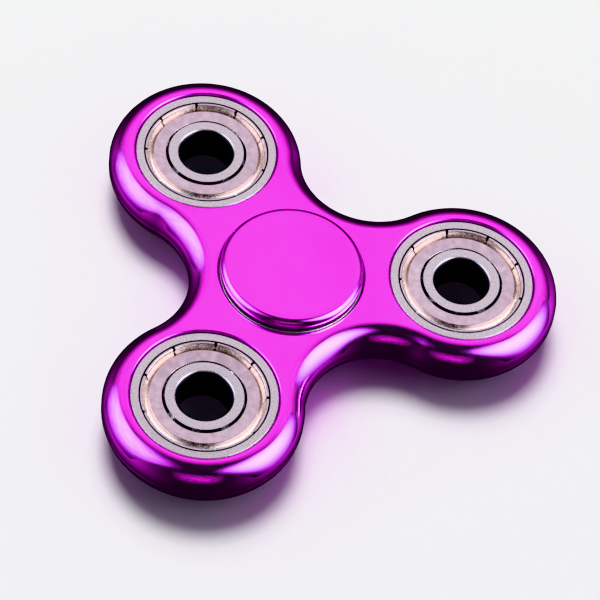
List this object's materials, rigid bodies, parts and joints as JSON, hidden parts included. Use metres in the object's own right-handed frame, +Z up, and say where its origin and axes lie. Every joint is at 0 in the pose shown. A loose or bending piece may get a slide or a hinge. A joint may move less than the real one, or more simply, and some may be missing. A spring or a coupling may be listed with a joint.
{
  "type": "fidget spinner",
  "caption": "Hand-held spinner: a plated lobed body turns on a capped ball bearing held between finger and thumb, with an open-bored ball bearing pressed into each lobe.",
  "frame": {"origin": "centre of the bottom cap's flat face, on the spin axis, which is the floor that the spinner stands on", "axes": "+Z up along the spin axis, +X from the spin axis towards the middle of lobe A, +Y towards the side lobe B is on"},
  "size_m": [0.0687, 0.0746, 0.0114],
  "materials": {
    "plated_magenta": "moulded plastic with a mirror-bright magenta metallic plating",
    "bearing_steel": "ground bearing steel",
    "shield_steel": "pressed sheet, smooth",
    "cage_steel": "pressed sheet, oiled",
    "ball_steel": "polished"
  },
  "bodies": {
    "hub": {"top_cap": "plated_magenta", "bottom_cap": "plated_magenta", "hub_inner_ring": "bearing_steel"},
    "spinner": {"spinner_body": "plated_magenta", "hub_outer_ring": "bearing_steel", "hub_top_shield": "shield_steel", "hub_bottom_shield": "shield_steel", "arm_a_outer_ring": "bearing_steel", "arm_a_top_shield": "shield_steel", "arm_a_bottom_shield": "shield_steel", "arm_b_outer_ring": "bearing_steel", "arm_b_top_shield": "shield_steel", "arm_b_bottom_shield": "shield_steel", "arm_c_outer_ring": "bearing_steel", "arm_c_top_shield": "shield_steel", "arm_c_bottom_shield": "shield_steel"},
    "hub_cage": {"hub_top_cage_half": "cage_steel", "hub_bottom_cage_half": "cage_steel"},
    "hub_rolling_ball_1": {"hub_ball_1": "ball_steel"},
    "hub_rolling_ball_2": {"hub_ball_2": "ball_steel"},
    "hub_rolling_ball_3": {"hub_ball_3": "ball_steel"},
    "hub_rolling_ball_4": {"hub_ball_4": "ball_steel"},
    "hub_rolling_ball_5": {"hub_ball_5": "ball_steel"},
    "hub_rolling_ball_6": {"hub_ball_6": "ball_steel"},
    "hub_rolling_ball_7": {"hub_ball_7": "ball_steel"},
    "arm_a_ring": {"arm_a_inner_ring": "bearing_steel"},
    "arm_a_cage": {"arm_a_top_cage_half": "cage_steel", "arm_a_bottom_cage_half": "cage_steel"},
    "arm_a_rolling_ball_1": {"arm_a_ball_1": "ball_steel"},
    "arm_a_rolling_ball_2": {"arm_a_ball_2": "ball_steel"},
    "arm_a_rolling_ball_3": {"arm_a_ball_3": "ball_steel"},
    "arm_a_rolling_ball_4": {"arm_a_ball_4": "ball_steel"},
    "arm_a_rolling_ball_5": {"arm_a_ball_5": "ball_steel"},
    "arm_a_rolling_ball_6": {"arm_a_ball_6": "ball_steel"},
    "arm_a_rolling_ball_7": {"arm_a_ball_7": "ball_steel"},
    "arm_b_ring": {"arm_b_inner_ring": "bearing_steel"},
    "arm_b_cage": {"arm_b_top_cage_half": "cage_steel", "arm_b_bottom_cage_half": "cage_steel"},
    "arm_b_rolling_ball_1": {"arm_b_ball_1": "ball_steel"},
    "arm_b_rolling_ball_2": {"arm_b_ball_2": "ball_steel"},
    "arm_b_rolling_ball_3": {"arm_b_ball_3": "ball_steel"},
    "arm_b_rolling_ball_4": {"arm_b_ball_4": "ball_steel"},
    "arm_b_rolling_ball_5": {"arm_b_ball_5": "ball_steel"},
    "arm_b_rolling_ball_6": {"arm_b_ball_6": "ball_steel"},
    "arm_b_rolling_ball_7": {"arm_b_ball_7": "ball_steel"},
    "arm_c_ring": {"arm_c_inner_ring": "bearing_steel"},
    "arm_c_cage": {"arm_c_top_cage_half": "cage_steel", "arm_c_bottom_cage_half": "cage_steel"},
    "arm_c_rolling_ball_1": {"arm_c_ball_1": "ball_steel"},
    "arm_c_rolling_ball_2": {"arm_c_ball_2": "ball_steel"},
    "arm_c_rolling_ball_3": {"arm_c_ball_3": "ball_steel"},
    "arm_c_rolling_ball_4": {"arm_c_ball_4": "ball_steel"},
    "arm_c_rolling_ball_5": {"arm_c_ball_5": "ball_steel"},
    "arm_c_rolling_ball_6": {"arm_c_ball_6": "ball_steel"},
    "arm_c_rolling_ball_7": {"arm_c_ball_7": "ball_steel"}
  },
  "joints": [
    {"name": "body_spin", "type": "hinge", "parent": "hub", "child": "spinner", "pos_m": [0, 0, 0.0057], "axis": [0, 0, 1], "continuous": true},
    {"name": "hub_cage_orbit", "type": "hinge", "parent": "hub", "child": "hub_cage", "pos_m": [0, 0, 0.0057], "axis": [0, 0, 1], "continuous": true},
    {"name": "hub_ball_1_roll", "type": "hinge", "parent": "hub_cage", "child": "hub_rolling_ball_1", "pos_m": [0.0075, 0, 0.0057], "axis": [0, 0, 1], "continuous": true},
    {"name": "hub_ball_2_roll", "type": "hinge", "parent": "hub_cage", "child": "hub_rolling_ball_2", "pos_m": [0.00468, 0.00586, 0.0057], "axis": [0, 0, 1], "continuous": true},
    {"name": "hub_ball_3_roll", "type": "hinge", "parent": "hub_cage", "child": "hub_rolling_ball_3", "pos_m": [-0.00167, 0.00731, 0.0057], "axis": [0, 0, 1], "continuous": true},
    {"name": "hub_ball_4_roll", "type": "hinge", "parent": "hub_cage", "child": "hub_rolling_ball_4", "pos_m": [-0.00676, 0.00325, 0.0057], "axis": [0, 0, 1], "continuous": true},
    {"name": "hub_ball_5_roll", "type": "hinge", "parent": "hub_cage", "child": "hub_rolling_ball_5", "pos_m": [-0.00676, -0.00325, 0.0057], "axis": [0, 0, 1], "continuous": true},
    {"name": "hub_ball_6_roll", "type": "hinge", "parent": "hub_cage", "child": "hub_rolling_ball_6", "pos_m": [-0.00167, -0.00731, 0.0057], "axis": [0, 0, 1], "continuous": true},
    {"name": "hub_ball_7_roll", "type": "hinge", "parent": "hub_cage", "child": "hub_rolling_ball_7", "pos_m": [0.00468, -0.00586, 0.0057], "axis": [0, 0, 1], "continuous": true},
    {"name": "arm_a_ring_spin", "type": "hinge", "parent": "spinner", "child": "arm_a_ring", "pos_m": [0.0258, 0, 0.0057], "axis": [0, 0, 1], "continuous": true},
    {"name": "arm_a_cage_orbit", "type": "hinge", "parent": "spinner", "child": "arm_a_cage", "pos_m": [0.0258, 0, 0.0057], "axis": [0, 0, 1], "continuous": true},
    {"name": "arm_a_ball_1_roll", "type": "hinge", "parent": "arm_a_cage", "child": "arm_a_rolling_ball_1", "pos_m": [0.0333, 0, 0.0057], "axis": [0, 0, 1], "continuous": true},
    {"name": "arm_a_ball_2_roll", "type": "hinge", "parent": "arm_a_cage", "child": "arm_a_rolling_ball_2", "pos_m": [0.03048, 0.00586, 0.0057], "axis": [0, 0, 1], "continuous": true},
    {"name": "arm_a_ball_3_roll", "type": "hinge", "parent": "arm_a_cage", "child": "arm_a_rolling_ball_3", "pos_m": [0.02413, 0.00731, 0.0057], "axis": [0, 0, 1], "continuous": true},
    {"name": "arm_a_ball_4_roll", "type": "hinge", "parent": "arm_a_cage", "child": "arm_a_rolling_ball_4", "pos_m": [0.01904, 0.00325, 0.0057], "axis": [0, 0, 1], "continuous": true},
    {"name": "arm_a_ball_5_roll", "type": "hinge", "parent": "arm_a_cage", "child": "arm_a_rolling_ball_5", "pos_m": [0.01904, -0.00325, 0.0057], "axis": [0, 0, 1], "continuous": true},
    {"name": "arm_a_ball_6_roll", "type": "hinge", "parent": "arm_a_cage", "child": "arm_a_rolling_ball_6", "pos_m": [0.02413, -0.00731, 0.0057], "axis": [0, 0, 1], "continuous": true},
    {"name": "arm_a_ball_7_roll", "type": "hinge", "parent": "arm_a_cage", "child": "arm_a_rolling_ball_7", "pos_m": [0.03048, -0.00586, 0.0057], "axis": [0, 0, 1], "continuous": true},
    {"name": "arm_b_ring_spin", "type": "hinge", "parent": "spinner", "child": "arm_b_ring", "pos_m": [-0.0129, 0.02234, 0.0057], "axis": [0, 0, 1], "continuous": true},
    {"name": "arm_b_cage_orbit", "type": "hinge", "parent": "spinner", "child": "arm_b_cage", "pos_m": [-0.0129, 0.02234, 0.0057], "axis": [0, 0, 1], "continuous": true},
    {"name": "arm_b_ball_1_roll", "type": "hinge", "parent": "arm_b_cage", "child": "arm_b_rolling_ball_1", "pos_m": [-0.0054, 0.02234, 0.0057], "axis": [0, 0, 1], "continuous": true},
    {"name": "arm_b_ball_2_roll", "type": "hinge", "parent": "arm_b_cage", "child": "arm_b_rolling_ball_2", "pos_m": [-0.00822, 0.02821, 0.0057], "axis": [0, 0, 1], "continuous": true},
    {"name": "arm_b_ball_3_roll", "type": "hinge", "parent": "arm_b_cage", "child": "arm_b_rolling_ball_3", "pos_m": [-0.01457, 0.02966, 0.0057], "axis": [0, 0, 1], "continuous": true},
    {"name": "arm_b_ball_4_roll", "type": "hinge", "parent": "arm_b_cage", "child": "arm_b_rolling_ball_4", "pos_m": [-0.01966, 0.0256, 0.0057], "axis": [0, 0, 1], "continuous": true},
    {"name": "arm_b_ball_5_roll", "type": "hinge", "parent": "arm_b_cage", "child": "arm_b_rolling_ball_5", "pos_m": [-0.01966, 0.01909, 0.0057], "axis": [0, 0, 1], "continuous": true},
    {"name": "arm_b_ball_6_roll", "type": "hinge", "parent": "arm_b_cage", "child": "arm_b_rolling_ball_6", "pos_m": [-0.01457, 0.01503, 0.0057], "axis": [0, 0, 1], "continuous": true},
    {"name": "arm_b_ball_7_roll", "type": "hinge", "parent": "arm_b_cage", "child": "arm_b_rolling_ball_7", "pos_m": [-0.00822, 0.01648, 0.0057], "axis": [0, 0, 1], "continuous": true},
    {"name": "arm_c_ring_spin", "type": "hinge", "parent": "spinner", "child": "arm_c_ring", "pos_m": [-0.0129, -0.02234, 0.0057], "axis": [0, 0, 1], "continuous": true},
    {"name": "arm_c_cage_orbit", "type": "hinge", "parent": "spinner", "child": "arm_c_cage", "pos_m": [-0.0129, -0.02234, 0.0057], "axis": [0, 0, 1], "continuous": true},
    {"name": "arm_c_ball_1_roll", "type": "hinge", "parent": "arm_c_cage", "child": "arm_c_rolling_ball_1", "pos_m": [-0.0054, -0.02234, 0.0057], "axis": [0, 0, 1], "continuous": true},
    {"name": "arm_c_ball_2_roll", "type": "hinge", "parent": "arm_c_cage", "child": "arm_c_rolling_ball_2", "pos_m": [-0.00822, -0.01648, 0.0057], "axis": [0, 0, 1], "continuous": true},
    {"name": "arm_c_ball_3_roll", "type": "hinge", "parent": "arm_c_cage", "child": "arm_c_rolling_ball_3", "pos_m": [-0.01457, -0.01503, 0.0057], "axis": [0, 0, 1], "continuous": true},
    {"name": "arm_c_ball_4_roll", "type": "hinge", "parent": "arm_c_cage", "child": "arm_c_rolling_ball_4", "pos_m": [-0.01966, -0.01909, 0.0057], "axis": [0, 0, 1], "continuous": true},
    {"name": "arm_c_ball_5_roll", "type": "hinge", "parent": "arm_c_cage", "child": "arm_c_rolling_ball_5", "pos_m": [-0.01966, -0.0256, 0.0057], "axis": [0, 0, 1], "continuous": true},
    {"name": "arm_c_ball_6_roll", "type": "hinge", "parent": "arm_c_cage", "child": "arm_c_rolling_ball_6", "pos_m": [-0.01457, -0.02966, 0.0057], "axis": [0, 0, 1], "continuous": true},
    {"name": "arm_c_ball_7_roll", "type": "hinge", "parent": "arm_c_cage", "child": "arm_c_rolling_ball_7", "pos_m": [-0.00822, -0.02821, 0.0057], "axis": [0, 0, 1], "continuous": true}
  ],
  "couplings": [
    {"joint": "hub_cage_orbit", "follows": "body_spin", "ratio": 0.6323},
    {"joint": "hub_ball_1_roll", "follows": "body_spin", "ratio": 1.7573},
    {"joint": "hub_ball_2_roll", "follows": "body_spin", "ratio": 1.7573},
    {"joint": "hub_ball_3_roll", "follows": "body_spin", "ratio": 1.7573},
    {"joint": "hub_ball_4_roll", "follows": "body_spin", "ratio": 1.7573},
    {"joint": "hub_ball_5_roll", "follows": "body_spin", "ratio": 1.7573},
    {"joint": "hub_ball_6_roll", "follows": "body_spin", "ratio": 1.7573},
    {"joint": "hub_ball_7_roll", "follows": "body_spin", "ratio": 1.7573},
    {"joint": "arm_a_cage_orbit", "follows": "arm_a_ring_spin", "ratio": 0.3677},
    {"joint": "arm_a_ball_1_roll", "follows": "arm_a_ring_spin", "ratio": -1.7573},
    {"joint": "arm_a_ball_2_roll", "follows": "arm_a_ring_spin", "ratio": -1.7573},
    {"joint": "arm_a_ball_3_roll", "follows": "arm_a_ring_spin", "ratio": -1.7573},
    {"joint": "arm_a_ball_4_roll", "follows": "arm_a_ring_spin", "ratio": -1.7573},
    {"joint": "arm_a_ball_5_roll", "follows": "arm_a_ring_spin", "ratio": -1.7573},
    {"joint": "arm_a_ball_6_roll", "follows": "arm_a_ring_spin", "ratio": -1.7573},
    {"joint": "arm_a_ball_7_roll", "follows": "arm_a_ring_spin", "ratio": -1.7573},
    {"joint": "arm_b_cage_orbit", "follows": "arm_b_ring_spin", "ratio": 0.3677},
    {"joint": "arm_b_ball_1_roll", "follows": "arm_b_ring_spin", "ratio": -1.7573},
    {"joint": "arm_b_ball_2_roll", "follows": "arm_b_ring_spin", "ratio": -1.7573},
    {"joint": "arm_b_ball_3_roll", "follows": "arm_b_ring_spin", "ratio": -1.7573},
    {"joint": "arm_b_ball_4_roll", "follows": "arm_b_ring_spin", "ratio": -1.7573},
    {"joint": "arm_b_ball_5_roll", "follows": "arm_b_ring_spin", "ratio": -1.7573},
    {"joint": "arm_b_ball_6_roll", "follows": "arm_b_ring_spin", "ratio": -1.7573},
    {"joint": "arm_b_ball_7_roll", "follows": "arm_b_ring_spin", "ratio": -1.7573},
    {"joint": "arm_c_cage_orbit", "follows": "arm_c_ring_spin", "ratio": 0.3677},
    {"joint": "arm_c_ball_1_roll", "follows": "arm_c_ring_spin", "ratio": -1.7573},
    {"joint": "arm_c_ball_2_roll", "follows": "arm_c_ring_spin", "ratio": -1.7573},
    {"joint": "arm_c_ball_3_roll", "follows": "arm_c_ring_spin", "ratio": -1.7573},
    {"joint": "arm_c_ball_4_roll", "follows": "arm_c_ring_spin", "ratio": -1.7573},
    {"joint": "arm_c_ball_5_roll", "follows": "arm_c_ring_spin", "ratio": -1.7573},
    {"joint": "arm_c_ball_6_roll", "follows": "arm_c_ring_spin", "ratio": -1.7573},
    {"joint": "arm_c_ball_7_roll", "follows": "arm_c_ring_spin", "ratio": -1.7573}
  ]
}
